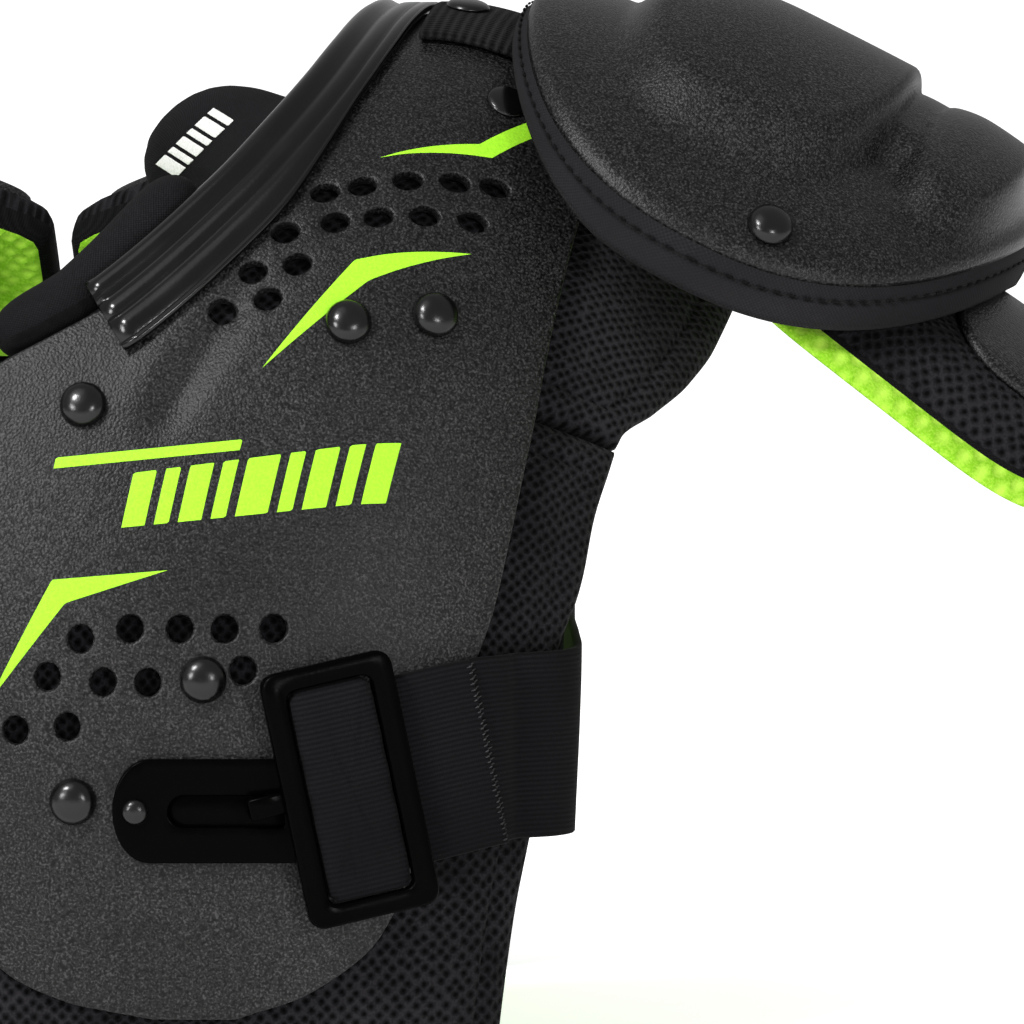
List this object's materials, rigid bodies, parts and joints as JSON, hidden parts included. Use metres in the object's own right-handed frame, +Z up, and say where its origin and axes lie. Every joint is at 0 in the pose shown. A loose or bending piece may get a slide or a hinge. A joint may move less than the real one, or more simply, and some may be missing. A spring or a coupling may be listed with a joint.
{
  "type": "football shoulder pad",
  "caption": "Football shoulder pad: perforated plastic arches over mesh foam, domed epaulets, sleeve pads, neck rolls and hooked elastic side straps.",
  "frame": {"origin": "centre of the footprint at the flat lower edge of the four foam legs", "axes": "+Z up, the chest faces -Y, +X to the wearer's left"},
  "size_m": [0.4792, 0.2166, 0.2208],
  "materials": {
    "grained_plastic": "fine leathery grain, satin",
    "smooth_plastic": "smooth, satin gloss",
    "rivet": "smooth and glossy",
    "mesh_foam": "knitted mesh over foam",
    "pad_cloth": "matt woven cloth over foam",
    "roll_cloth": "smooth woven cloth over foam",
    "vinyl": "smooth soft vinyl",
    "webbing": "ribbed woven webbing",
    "elastic": "woven elastic",
    "lime_print": "flat printed ink",
    "lime_mesh": "knitted mesh lining",
    "white_print": "flat printed ink",
    "thread": "sewing thread"
  },
  "bodies": {
    "root": {"arch_plate_left": "grained_plastic", "shoulder_foam_left": "mesh_foam", "chest_foam_left": "mesh_foam", "back_foam_left": "mesh_foam", "neck_trim_left": "vinyl", "collar_roll_left": "roll_cloth", "neck_roll_left": "roll_cloth", "shoulder_webbing_left": "webbing", "side_strap_left": "elastic", "buckle_frame_left": "smooth_plastic", "hook_plate_left": "smooth_plastic", "chest_rivet_1_left": "rivet", "chest_rivet_2_left": "rivet", "chest_rivet_3_left": "rivet", "chest_rivet_4_left": "rivet", "chest_rivet_5_left": "rivet", "back_rivet_left": "rivet", "hook_plate_rivet_left": "rivet", "shoulder_disc_left": "rivet", "webbing_washer_left": "rivet", "epaulet_shell_left": "grained_plastic", "epaulet_pad_left": "pad_cloth", "epaulet_rivet_front_left": "rivet", "epaulet_rivet_back_left": "rivet", "sleeve_pad_left": "mesh_foam", "sleeve_cap_left": "grained_plastic", "arch_plate_right": "grained_plastic", "shoulder_foam_right": "mesh_foam", "chest_foam_right": "mesh_foam", "back_foam_right": "mesh_foam", "neck_trim_right": "vinyl", "collar_roll_right": "roll_cloth", "neck_roll_right": "roll_cloth", "shoulder_webbing_right": "webbing", "side_strap_right": "elastic", "buckle_frame_right": "smooth_plastic", "hook_plate_right": "smooth_plastic", "chest_rivet_1_right": "rivet", "chest_rivet_2_right": "rivet", "chest_rivet_3_right": "rivet", "chest_rivet_4_right": "rivet", "chest_rivet_5_right": "rivet", "back_rivet_right": "rivet", "hook_plate_rivet_right": "rivet", "shoulder_disc_right": "rivet", "webbing_washer_right": "rivet", "epaulet_shell_right": "grained_plastic", "epaulet_pad_right": "pad_cloth", "epaulet_rivet_front_right": "rivet", "epaulet_rivet_back_right": "rivet", "sleeve_pad_right": "mesh_foam", "sleeve_cap_right": "grained_plastic", "sternum_bridge": "grained_plastic", "spine_bridge": "grained_plastic"}
  },
  "joints": []
}
